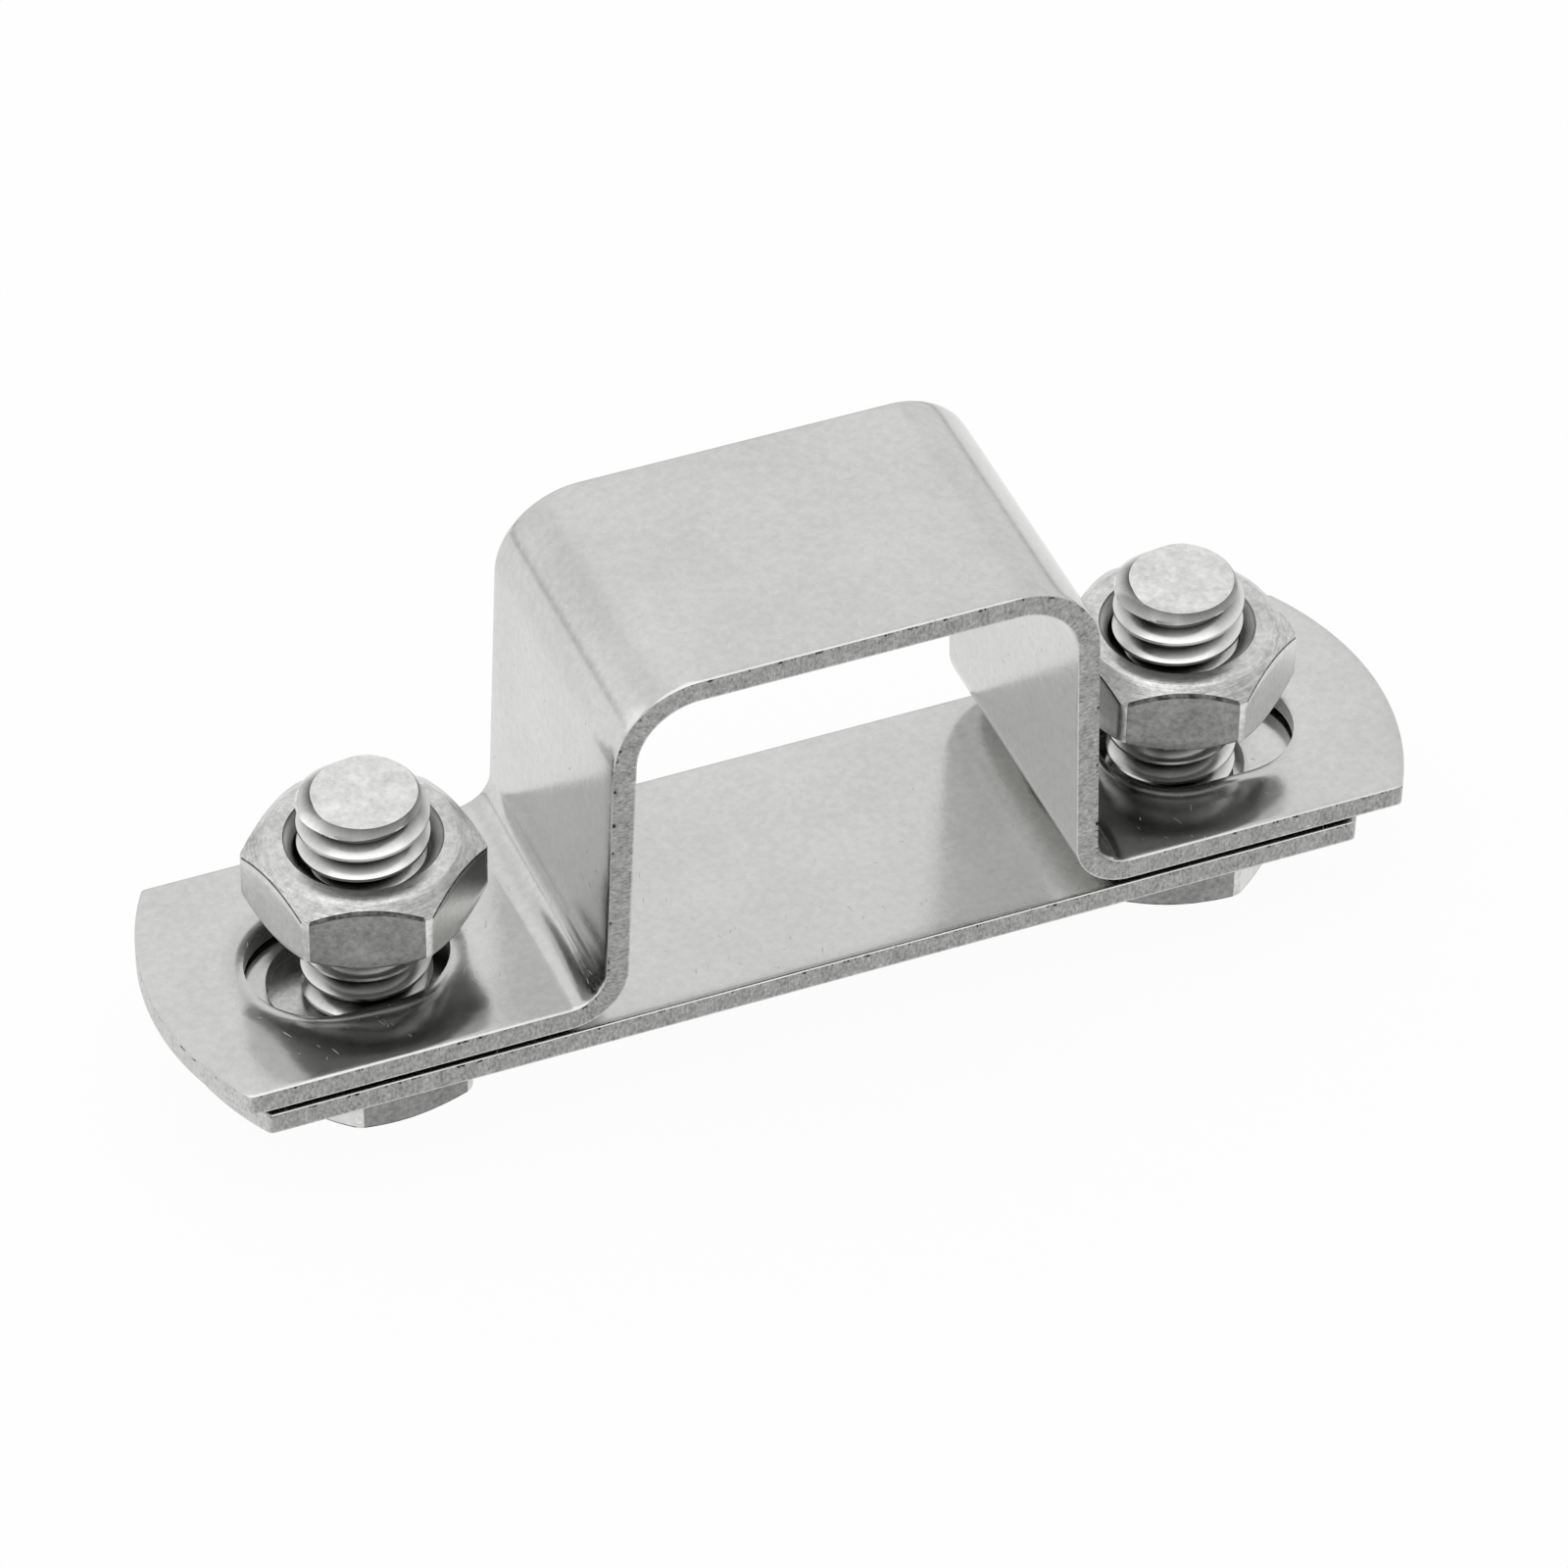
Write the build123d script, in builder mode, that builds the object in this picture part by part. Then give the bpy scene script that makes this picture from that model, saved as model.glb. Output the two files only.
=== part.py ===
"""Clamp connector for a square tube: a hat-shaped strap bolted over a flat base plate.

Millimetres, +Z up. The origin is on the floor under the bolt heads, at the middle of the strap's
length and width. X runs along the strap and Y along the tube that passes through it.
"""

import math
import os

from build123d import *

# Sheet that both plates are cut from
sheet_t = 1.5
plate_w = 19.5
end_r = 18.75
corner_r = 0.4

# Strap: its hat stands over the tube and its flanges lie over the base plate
hat_inner_w = 27.8
hat_h = 24.8
hat_shift = 1.0
flange_l = 26.2
wall_flare = 1.75
top_bend_r = 4.0
foot_bend_r = 2.2
plate_gap = 0.4

# Base plate: a little shorter than the strap, and left where the bolts' play let it slide
base_inset = 2.1
base_shift = -0.95

# Bolts
bolt_d = 8.0
bolt_l = 15.8
bolt_inset = 13.7
bolt_shift = -0.15
bolt_tip_d = 6.6
head_af = 13.0
head_h = 5.3
head_face_inset = 0.35
head_face_angle = 30.0
washer_face_h = 0.4
washer_face_d = 12.0

# Nuts
nut_af = 12.9
nut_h = 5.2
nut_lift = 3.7
nut_face_inset = 0.6
nut_face_angle = 38.0
nut_bore_gap = 0.05
nut_sink_d = 9.6
hex_corner_r = 0.7

# Slots in both plates: the strap's lie farther out than the bolts, the base plate's farther in
slot_l = 12.6
slot_w = 9.3
slot_roll_r = 0.5
strap_slot_out = 1.4
base_slot_in = 0.9

# How far each hexagon is turned about its bolt, a corner pointing along +X at 0
left_head_turn = 5.5
right_head_turn = -18.0
left_nut_turn = -18.4
right_nut_turn = -20.4

# Levels above the floor
base_z = head_h
strap_z = base_z + sheet_t + plate_gap
nut_z = strap_z + sheet_t + nut_lift

# Lengths and spacings that follow from the tube's passage and the flanges
strap_l = hat_inner_w + 2 * flange_l
base_l = strap_l - 2 * base_inset
bolt_spacing = strap_l - 2 * bolt_inset
strap_slot_spacing = bolt_spacing + 2 * strap_slot_out
base_slot_spacing = bolt_spacing - 2 * base_slot_in
left_bolt_x = bolt_shift - bolt_spacing / 2
right_bolt_x = bolt_shift + bolt_spacing / 2


def plate_blank(length):
    """Strip with long straight sides and ends that bulge as shallow arcs."""
    corner_x = length / 2 - end_r + math.sqrt(end_r**2 - (plate_w / 2) ** 2)
    corner_y = plate_w / 2
    with BuildSketch() as blank:
        with BuildLine():
            Line((-corner_x, corner_y), (corner_x, corner_y))
            ThreePointArc((corner_x, corner_y), (length / 2, 0), (corner_x, -corner_y))
            Line((corner_x, -corner_y), (-corner_x, -corner_y))
            ThreePointArc((-corner_x, -corner_y), (-length / 2, 0), (-corner_x, corner_y))
        make_face()
        fillet(blank.vertices(), corner_r)
    return blank.sketch


def turned(profile):
    """Solid of revolution about Z from the points of its half section."""
    with BuildPart() as lathe:
        with BuildSketch(Plane.XZ):
            with BuildLine():
                Polyline(*profile, close=True)
            make_face()
        revolve(axis=Axis.Z)
    return lathe.part


def hexagon(across_flats, height, turn):
    """Hexagonal bar with softened corners, a corner pointing along +X before it is turned."""
    with BuildPart() as bar:
        with BuildSketch():
            RegularPolygon(across_flats / 2, 6, major_radius=False, rotation=turn)
        extrude(amount=height)
        fillet(bar.edges().filter_by(Axis.Z), hex_corner_r)
    return bar.part


def face_cut(across_flats, inset, angle):
    """Radius of a hexagon's flat face, radius of its corners and the drop of the cut between them."""
    flat_r = across_flats / 2 - inset
    corner = across_flats / math.sqrt(3)
    return flat_r, corner, (corner - flat_r) * math.tan(math.radians(angle))


def bolt_shape(head_turn):
    """Hexagon bolt threaded to its head, standing on the head, its shank at the crests' size."""
    flat_r, corner, drop = face_cut(head_af, head_face_inset, head_face_angle)
    rim_z = head_h - washer_face_h
    envelope = [
        (0, 0),
        (flat_r, 0),
        (corner, drop),
        (corner, rim_z),
        (washer_face_d / 2, rim_z),
        (washer_face_d / 2, head_h),
        (0, head_h),
    ]
    with BuildPart() as bolt:
        add(hexagon(head_af, head_h, head_turn))
        add(turned(envelope), mode=Mode.INTERSECT)
        with BuildSketch(Plane.XY.offset(head_h)):
            Circle(bolt_d / 2)
        extrude(amount=bolt_l)
        tip = bolt.edges().filter_by(GeomType.CIRCLE).sort_by(Axis.Z)[-1]
        chamfer(tip, (bolt_d - bolt_tip_d) / 2)
    return bolt.part


def nut_shape(turn):
    """Thin hexagon nut, cut back at the corners of both faces and countersunk at both ends."""
    flat_r, corner, drop = face_cut(nut_af, nut_face_inset, nut_face_angle)
    envelope = [
        (0, 0),
        (flat_r, 0),
        (corner, drop),
        (corner, nut_h - drop),
        (flat_r, nut_h),
        (0, nut_h),
    ]
    bore_r = bolt_d / 2 + nut_bore_gap
    with BuildPart() as nut:
        add(hexagon(nut_af, nut_h, turn))
        add(turned(envelope), mode=Mode.INTERSECT)
        Hole(bore_r)
        mouths = nut.faces().filter_by(Axis.Z).edges().filter_by(GeomType.CIRCLE).sort_by(SortBy.RADIUS)
        chamfer(mouths[0:2], nut_sink_d / 2 - bore_r)
    return nut.part


# Base plate
with BuildPart() as base_plate:
    with BuildSketch(Plane.XY.offset(base_z)):
        with Locations((base_shift, 0)):
            add(plate_blank(base_l))
            with GridLocations(base_slot_spacing, 0, 2, 1):
                SlotOverall(slot_l, slot_w, mode=Mode.SUBTRACT)
    extrude(amount=sheet_t)
base_plate.part.label = "base_plate"

# Strap: the hat's section is bent from one sheet, then cut to the strip's outline
hat_inner_h = hat_h - sheet_t
top_x = hat_inner_w / 2
foot_x = top_x + hat_inner_h * math.tan(math.radians(wall_flare))
foot_r = foot_bend_r + sheet_t
with BuildPart() as strap:
    with BuildSketch(Plane.XZ.shift_origin((hat_shift, 0, strap_z))):
        with BuildLine():
            FilletPolyline(
                (-strap_l, 0),
                (-foot_x, 0),
                (-top_x, hat_inner_h),
                (top_x, hat_inner_h),
                (foot_x, 0),
                (strap_l, 0),
                radius=[foot_r, top_bend_r, top_bend_r, foot_r],
            )
            offset(amount=sheet_t, side=Side.LEFT)
        make_face()
    extrude(amount=plate_w, both=True)
    with BuildSketch(Plane.XY.offset(strap_z)):
        add(plate_blank(strap_l))
        with GridLocations(strap_slot_spacing, 0, 2, 1):
            SlotOverall(slot_l, slot_w, mode=Mode.SUBTRACT)
    extrude(amount=hat_h, mode=Mode.INTERSECT)
    flange_tops = strap.faces().filter_by(Axis.Z).group_by(Axis.Z)[1]
    slot_rims = [edge for face in flange_tops for wire in face.inner_wires() for edge in wire.edges()]
    fillet(slot_rims, slot_roll_r)
strap.part.label = "strap"

# Bolts, heads down, and the thin nuts part way down them
with BuildPart() as left_bolt:
    with Locations((left_bolt_x, 0, 0)):
        add(bolt_shape(left_head_turn))
left_bolt.part.label = "left_bolt"

with BuildPart() as right_bolt:
    with Locations((right_bolt_x, 0, 0)):
        add(bolt_shape(right_head_turn))
right_bolt.part.label = "right_bolt"

with BuildPart() as left_nut:
    with Locations((left_bolt_x, 0, nut_z)):
        add(nut_shape(left_nut_turn))
left_nut.part.label = "left_nut"

with BuildPart() as right_nut:
    with Locations((right_bolt_x, 0, nut_z)):
        add(nut_shape(right_nut_turn))
right_nut.part.label = "right_nut"

os.makedirs("parts", exist_ok=True)
for piece in (base_plate, strap, left_bolt, right_bolt, left_nut, right_nut):
    export_step(piece.part, f"parts/{piece.part.label}.step")
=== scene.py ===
import math

import bpy
from mathutils import Euler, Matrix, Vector
from mathutils.geometry import delaunay_2d_cdt


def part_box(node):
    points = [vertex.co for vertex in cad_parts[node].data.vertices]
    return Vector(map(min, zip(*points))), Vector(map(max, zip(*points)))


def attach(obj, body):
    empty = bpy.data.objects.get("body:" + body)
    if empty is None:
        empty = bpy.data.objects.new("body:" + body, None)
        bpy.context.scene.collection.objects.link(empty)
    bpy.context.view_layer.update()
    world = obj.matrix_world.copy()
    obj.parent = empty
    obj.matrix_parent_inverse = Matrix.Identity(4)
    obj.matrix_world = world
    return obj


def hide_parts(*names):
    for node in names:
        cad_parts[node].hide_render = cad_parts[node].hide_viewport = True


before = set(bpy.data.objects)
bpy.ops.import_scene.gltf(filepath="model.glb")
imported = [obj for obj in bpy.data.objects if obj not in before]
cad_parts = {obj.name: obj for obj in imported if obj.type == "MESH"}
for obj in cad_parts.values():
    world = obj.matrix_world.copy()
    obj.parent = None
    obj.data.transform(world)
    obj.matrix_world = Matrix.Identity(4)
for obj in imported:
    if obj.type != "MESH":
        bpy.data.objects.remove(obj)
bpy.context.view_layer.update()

MM = 0.001

# Sheet metal: its outline and slots, and how far the press rolled their edges over
sheet_t = 1.5 * MM
end_r = 18.75 * MM
corner_r = 0.4 * MM
strap_slot_spacing = 55.6 * MM
base_slot_spacing = 51.0 * MM
slot_l = 12.6 * MM
slot_w = 9.3 * MM
slot_roll_depth = 0.39 * MM
slot_roll_reach = 2.2 * MM
edge_roll_depth = 0.06 * MM
edge_roll_reach = 0.24 * MM
edge_dish_depth = 0.035 * MM
edge_dish_reach = 1.3 * MM
slot_roll_power = 3.0
edge_roll_power = 2.2
edge_dish_power = 2.0

# Spacing of the sheets' meshes, and the loops that follow their edges
column_step = 0.8 * MM
bend_column_step = 0.22 * MM
row_step = 0.75 * MM
rim_insets = [inset * MM for inset in (0.0, 0.04, 0.09, 0.18, 0.4, 0.75, 1.15)]
slot_outs = [out * MM for out in (0.0, 0.08, 0.18, 0.32, 0.52, 0.8, 1.15, 1.6, 2.1)]
rim_clearance = 0.25 * MM
slot_clearance = 0.3 * MM
cut_wall_rows = 5
blank_slack = 1e-8

# Cut edges: how deep the burrs and the painted highlight along the lower rim reach, and how far each
# fades
burr_rim = 0.22 * MM
foot_highlight_height = 0.13 * MM
rim_fade = MM / 12

# Hat bent in the strap
hat_inner_w = 27.8 * MM
hat_shift = 1.0 * MM
wall_flare = math.radians(1.75)
top_bend_r = 4.0 * MM
foot_bend_r = 2.2 * MM

# Threads: the flanks as shares of half a pitch, the meshes' spacing, and the pitches wound past the ends
thread_pitch = 1.6 * MM
crest_r = 3.98 * MM
root_r = 3.08 * MM
nut_play = 0.07 * MM
bolt_tip_r = 3.3 * MM
flank_foot = 0.24
flank_top = 0.86
thread_columns = 120
thread_rows = 16
thread_lead_in = 2
thread_lead_out = 1
row_slack = 0.01
weld = 1e-7

# Bolt heads: their section's points as shares of the foot and of the cut round it
head_af = 13.0 * MM
head_h = 5.3 * MM
head_face_inset = 0.35 * MM
head_face_angle = math.radians(30)
washer_face_h = 0.4 * MM
washer_face_r = 6.0 * MM
head_face_shares = (0.0, 0.35, 0.7)
head_cut_shares = (0.0, 0.33, 0.66)

# Nuts
nut_af = 12.9 * MM
nut_face_inset = 0.6 * MM
nut_face_angle = math.radians(38)
nut_sink_r = 4.8 * MM
nut_sink_line = 0.16 * MM
nut_cut_shares = (0.0, 0.08, 0.36)
nut_cut_line = 0.2 * MM
hidden_lip = 0.04 * MM

# Hexagons of both, their worn corners and edges, and how each is turned about its axis
hex_steps = 360
hex_corner_r = 0.7 * MM
worn_corner_share = 0.3
worn_edge = 0.13 * MM
worn_cut = 0.35 * worn_edge
side_rows = 6
turned_core_r = 5.6 * MM
turned_fade = MM / 1.4
# Which flat of each hexagon is coloured darker, as painted shade
shaded_flat_index = 4
left_head_turn = math.radians(5.5)
right_head_turn = math.radians(-18.0)
left_nut_turn = math.radians(-18.4)
right_nut_turn = math.radians(-20.4)

# Places of a hexagon's materials on its mesh; the darker flat and the edge line hold painted shade
TURNED, SHADED, WORN, SHADE_LINE, PALE = range(5)

# Sizes taken from the solids
strap_low, strap_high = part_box("strap")
base_low, base_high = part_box("base_plate")
plate_w = strap_high.y - strap_low.y


def axis_x(node):
    """X of a bolt's or nut's axis, the middle of its box."""
    low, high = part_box(node)
    return (low.x + high.x) / 2


# Materials


def new_group(name, inputs, outputs):
    """Empty shader group with the given float inputs and named outputs."""
    group = bpy.data.node_groups.new(name, "ShaderNodeTree")
    for label, default in inputs.items():
        socket = group.interface.new_socket(label, in_out="INPUT", socket_type="NodeSocketFloat")
        socket.default_value = default
    for label, kind in outputs.items():
        group.interface.new_socket(label, in_out="OUTPUT", socket_type=kind)
    start = group.nodes.new("NodeGroupInput")
    end = group.nodes.new("NodeGroupOutput")
    return group, start, end


def add(tree, kind, settings=None, **values):
    """Adds a node, sets its properties, and fills or links its inputs by name or number."""
    node = tree.nodes.new(kind)
    for key, value in (settings or {}).items():
        setattr(node, key, value)
    for key, value in values.items():
        name = key.replace("_", " ")
        socket = node.inputs[int(key[1:])] if key[0] == "i" and key[1:].isdigit() else node.inputs[name]
        if isinstance(value, bpy.types.NodeSocket):
            tree.links.new(value, socket)
        else:
            socket.default_value = value
    return node


def maths(tree, operation, first, second=0.0, third=0.0, clamp=False):
    """One Math node, given as its output socket."""
    settings = {"operation": operation, "use_clamp": clamp}
    return add(tree, "ShaderNodeMath", settings, i0=first, i1=second, i2=third).outputs[0]


def fade(tree, value, start, width):
    """0 up to a start and 1 past it by a width, the other way round where the width is negative."""
    return maths(tree, "MULTIPLY", maths(tree, "SUBTRACT", value, start), 1 / width, clamp=True)


def noise(tree, where, scale, detail, roughness=0.5):
    """Noise texture, given as its factor socket."""
    settings = {"Vector": where, "Scale": scale, "Detail": detail, "Roughness": roughness}
    return add(tree, "ShaderNodeTexNoise", **settings).outputs["Fac"]


def rolled_grain():
    """Mottled, finely pitted skin of cold-rolled sheet: a tone mask and a height."""
    group, start, end = new_group(
        "rolled_grain",
        {"Cloud Scale": 90.0, "Pit Scale": 1800.0},
        {"Tone": "NodeSocketFloat", "Height": "NodeSocketFloat"},
    )
    where = add(group, "ShaderNodeTexCoord").outputs["Object"]
    clouds = noise(group, where, start.outputs["Cloud Scale"], detail=4.0, roughness=0.6)
    pits = noise(group, where, start.outputs["Pit Scale"], detail=3.0, roughness=0.7)
    tone = maths(group, "MULTIPLY_ADD", pits, 0.55, maths(group, "MULTIPLY", clouds, 0.45))
    group.links.new(tone, end.inputs["Tone"])
    group.links.new(pits, end.inputs["Height"])
    return group


def nicks():
    """Short pale nicks in three directions over the flat sheet, as a mask."""
    group, start, end = new_group("nicks", {"Scale": 700.0, "Amount": 1.0}, {"Mask": "NodeSocketFloat"})
    where = add(group, "ShaderNodeUVMap", {"uv_map": "UVMap"}).outputs["UV"]
    mask = 0.0
    for turn, stretch, rarity in ((1.2, 6.0, 0.74), (1.9, 7.0, 0.75), (2.5, 5.0, 0.755)):
        placing = {"Vector": where, "Rotation": (0, 0, turn), "Scale": (1, 1 / stretch, 1)}
        turned = add(group, "ShaderNodeMapping", {"vector_type": "TEXTURE"}, **placing).outputs[0]
        marks = noise(group, turned, start.outputs["Scale"], detail=1.0)
        mask = maths(group, "MAXIMUM", fade(group, marks, rarity, 1 / 40), mask)
    group.links.new(maths(group, "MULTIPLY", mask, start.outputs["Amount"]), end.inputs["Mask"])
    return group


def round_axis():
    """Distance from an upright axis at X, and streaks that run round it."""
    group, start, end = new_group(
        "round_axis",
        {"Axis X": 0.0, "Across": 5000.0, "Round": 3.0},
        {"Radius": "NodeSocketFloat", "Streaks": "NodeSocketFloat"},
    )
    where = add(group, "ShaderNodeTexCoord").outputs["Object"]
    place = add(group, "ShaderNodeSeparateXYZ", Vector=where).outputs
    x = maths(group, "SUBTRACT", place["X"], start.outputs["Axis X"])
    flat = add(group, "ShaderNodeCombineXYZ", X=x, Y=place["Y"]).outputs[0]
    radius = add(group, "ShaderNodeVectorMath", {"operation": "LENGTH"}, i0=flat).outputs["Value"]
    way = add(group, "ShaderNodeVectorMath", {"operation": "NORMALIZE"}, i0=flat).outputs["Vector"]
    turned = add(group, "ShaderNodeSeparateXYZ", Vector=way).outputs
    spun = add(
        group,
        "ShaderNodeCombineXYZ",
        X=maths(group, "MULTIPLY", turned["X"], start.outputs["Round"]),
        Y=maths(group, "MULTIPLY", turned["Y"], start.outputs["Round"]),
        Z=maths(group, "MULTIPLY", radius, start.outputs["Across"]),
    )
    streaks = noise(group, spun.outputs[0], 1.0, detail=3.0, roughness=0.6)
    group.links.new(radius, end.inputs["Radius"])
    group.links.new(streaks, end.inputs["Streaks"])
    return group


grain_group = rolled_grain()
nick_group = nicks()
axis_group = round_axis()


def grain_in(tree, cloud=90.0, pit=1800.0):
    """Rolled grain with its clouds' and pits' scales, given as its outputs."""
    scales = {"Cloud_Scale": cloud, "Pit_Scale": pit}
    return add(tree, "ShaderNodeGroup", {"node_tree": grain_group}, **scales).outputs


def axis_in(tree, centre, across, around):
    """Distance from the axis at X centre and streaks round it, given as outputs."""
    values = {"Axis_X": centre, "Across": across, "Round": around}
    return add(tree, "ShaderNodeGroup", {"node_tree": axis_group}, **values).outputs


def steel(name, roughness):
    """Material with a Principled steel shader, given with its tree and shader."""
    material = bpy.data.materials.new(name)
    material.use_nodes = True
    tree = material.node_tree
    shader = tree.nodes["Principled BSDF"]
    shader.inputs["Metallic"].default_value = 1.0
    shader.inputs["Roughness"].default_value = roughness
    return material, tree, shader


def coloured(tree, shader, factor, dark, light, low, high):
    """Colours the shader from dark to light steel while a factor goes from low to high."""
    node = add(tree, "ShaderNodeValToRGB", Fac=factor)
    for stop, place, level in zip(node.color_ramp.elements, (low, high), (dark, light)):
        stop.position = place
        stop.color = (level, level, level * 0.985, 1)
    tree.links.new(node.outputs["Color"], shader.inputs["Base Color"])


def bumped(tree, shader, height, strength, distance):
    """Lets a height tilt the shader's normal."""
    bump = add(tree, "ShaderNodeBump", Strength=strength, Distance=distance, Height=height)
    tree.links.new(bump.outputs["Normal"], shader.inputs["Normal"])


def sheet_steel():
    """Satin cold-rolled stainless sheet with faint clouds, pits and nicks."""
    material, tree, shader = steel("sheet_steel", roughness=0.3)
    grain = grain_in(tree)
    marks = add(tree, "ShaderNodeGroup", {"node_tree": nick_group}).outputs["Mask"]
    tone = maths(tree, "MULTIPLY_ADD", marks, 0.6, grain["Tone"])
    coloured(tree, shader, tone, dark=0.57, light=0.7, low=0.35, high=0.7)
    smooth = maths(tree, "MULTIPLY_ADD", grain["Tone"], 0.12, 0.11)
    tree.links.new(maths(tree, "MULTIPLY_ADD", marks, 0.4, smooth), shader.inputs["Roughness"])
    bumped(tree, shader, grain["Height"], strength=0.25, distance=0.02 * MM)
    return material


def sheared_steel():
    """Cut edge of the sheet: grey, torn across, with burrs under the skin and a painted highlight along
    its lower rim.

    The walls that face along X, at the ends of the strip and of the slots, are paler than those that face
    across it.
    """
    material, tree, shader = steel("sheared_steel", roughness=0.45)
    along = add(tree, "ShaderNodeUVMap", {"uv_map": "UVMap"}).outputs["UV"]

    def stretched(per_metre_along, per_metre_up, detail, roughness=0.5):
        """Noise with so many cells per metre along the cut and up it."""
        placing = {"Vector": along, "Scale": (per_metre_along, per_metre_up, 1)}
        return noise(tree, add(tree, "ShaderNodeMapping", **placing).outputs[0], 1.0, detail, roughness)

    tears = stretched(5400, 2600, detail=4.0, roughness=0.7)
    chips = stretched(1900, 500, detail=5.0, roughness=0.75)
    patches = stretched(1100, 900, detail=2.0)
    height = add(tree, "ShaderNodeSeparateXYZ", Vector=along).outputs["Y"]
    near_skin = fade(tree, height, sheet_t - burr_rim, rim_fade)
    lower_rim_highlight = fade(tree, height, foot_highlight_height, -rim_fade)
    burrs = maths(tree, "MULTIPLY", near_skin, fade(tree, chips, 0.56, 1 / 14))
    facing = add(tree, "ShaderNodeTexCoord").outputs["Normal"]
    faces_along_x = maths(tree, "ABSOLUTE", add(tree, "ShaderNodeSeparateXYZ", Vector=facing).outputs["X"])
    tone = maths(tree, "MULTIPLY_ADD", patches, 0.25, maths(tree, "MULTIPLY", tears, 0.75))
    # Painted highlight along the cut's lower rim.
    tone = maths(tree, "MULTIPLY_ADD", lower_rim_highlight, 0.2, tone)
    tone = maths(tree, "MULTIPLY_ADD", faces_along_x, 0.24, tone)
    tone = maths(tree, "MULTIPLY_ADD", burrs, -0.6, tone)
    coloured(tree, shader, tone, dark=0.02, light=0.66, low=0.2, high=0.76)
    bumped(tree, shader, tears, strength=0.7, distance=0.06 * MM)
    return material


def thread_steel(name, centre):
    """Bright rolled thread, with painted shade that darkens it down in its root."""
    material, tree, shader = steel(name, roughness=0.19)
    about = axis_in(tree, centre, across=2500.0, around=60.0)
    # Painted shade: the colour darkens from the crest down into the root.
    from_root = maths(tree, "SUBTRACT", about["Radius"], root_r)
    depth = maths(tree, "MULTIPLY", from_root, 1 / (crest_r - root_r))
    tone = maths(tree, "MULTIPLY_ADD", about["Streaks"], 0.25, maths(tree, "MULTIPLY", depth, 0.85))
    coloured(tree, shader, tone, dark=0.11, light=0.78, low=0.15, high=0.88)
    bumped(tree, shader, about["Streaks"], strength=0.2, distance=0.02 * MM)
    return material


def flat_steel(name, dark, light, roughness):
    """Hexagon flats, between two greys."""
    material, tree, shader = steel(name, roughness)
    grain = grain_in(tree, cloud=250.0, pit=2500.0)
    coloured(tree, shader, grain["Tone"], dark, light, low=0.35, high=0.65)
    bumped(tree, shader, grain["Height"], strength=0.35, distance=0.03 * MM)
    return material


def worn_steel():
    """Corners of the hexagons, rubbed bright."""
    material, tree, shader = steel("worn_steel", roughness=0.32)
    grain = grain_in(tree, cloud=900.0, pit=2800.0)
    coloured(tree, shader, grain["Tone"], dark=0.5, light=0.8, low=0.38, high=0.62)
    bumped(tree, shader, grain["Height"], strength=0.6, distance=0.04 * MM)
    return material


def bore_steel(name, centre):
    """Countersunk mouth of a nut, dull, with painted shade that darkens it down into the thread, and a
    dark line round its rim.
    """
    material, tree, shader = steel(name, roughness=0.34)
    about = axis_in(tree, centre, across=7500.0, around=5.0)
    width = nut_sink_r - crest_r - nut_play
    depth = maths(tree, "MULTIPLY", maths(tree, "SUBTRACT", nut_sink_r, about["Radius"]), 1 / width)
    rim = fade(tree, about["Radius"], nut_sink_r - nut_sink_line, nut_sink_line)
    # Painted shade: the tone falls from the mouth down into the thread.
    pale = maths(tree, "MULTIPLY_ADD", rim, -0.8, maths(tree, "SUBTRACT", 0.9, depth))
    tone = maths(tree, "MULTIPLY_ADD", about["Streaks"], 0.3, pale)
    coloured(tree, shader, tone, dark=0.12, light=0.9, low=0.15, high=0.95)
    return material


def end_steel():
    """Blotchy pressed end of a bolt."""
    material, tree, shader = steel("end_steel", roughness=0.28)
    grain = grain_in(tree, cloud=700.0, pit=2000.0)
    coloured(tree, shader, grain["Tone"], dark=0.55, light=0.85, low=0.3, high=0.62)
    bumped(tree, shader, grain["Tone"], strength=0.5, distance=0.06 * MM)
    return material


def edge_shade_steel():
    """Thin dark line of painted shade along the top and the foot of each flat."""
    material, tree, shader = steel("edge_shade_steel", roughness=0.4)
    grain = grain_in(tree, cloud=900.0, pit=2800.0)
    coloured(tree, shader, grain["Tone"], dark=0.05, light=0.26, low=0.4, high=0.65)
    return material


def turned_steel(name, centre):
    """Turned faces of a nut or head, with streaks about its axis that are coarser on the cut corners."""
    material, tree, shader = steel(name, roughness=0.26)
    about = axis_in(tree, centre, across=7500.0, around=5.0)
    grain = grain_in(tree, cloud=500.0, pit=2400.0)
    cut_back = fade(tree, about["Radius"], turned_core_r, turned_fade)
    share = maths(tree, "MULTIPLY_ADD", cut_back, 0.45, 0.25)
    ring = maths(tree, "MULTIPLY", maths(tree, "SUBTRACT", about["Streaks"], 0.5), share)
    tone = maths(tree, "ADD", ring, grain["Tone"])
    coloured(tree, shader, tone, dark=0.42, light=0.82, low=0.3, high=0.7)
    bumped(tree, shader, tone, strength=0.5, distance=0.04 * MM)
    return material


# Sheets: the strap and the base plate share one way of making a mesh from a flat blank


class FlatSheet:
    """A blank that stays flat, from X along it and height n over its underside."""

    def __init__(self, middle, low_z, length, slot_spacing):
        self.middle = middle
        self.low_z = low_z
        self.half_l = length / 2
        self.slots = [-slot_spacing / 2, slot_spacing / 2]
        self.bends = []

    def plan(self, s):
        """X from the sheet's own middle at developed length s."""
        return s

    def develop(self, x):
        """Developed length at X from the sheet's own middle."""
        return x

    def place(self, s, y, n):
        """Point at developed length s, Y and height n over the underside."""
        return Vector((self.middle + s, y, self.low_z + n))


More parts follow.
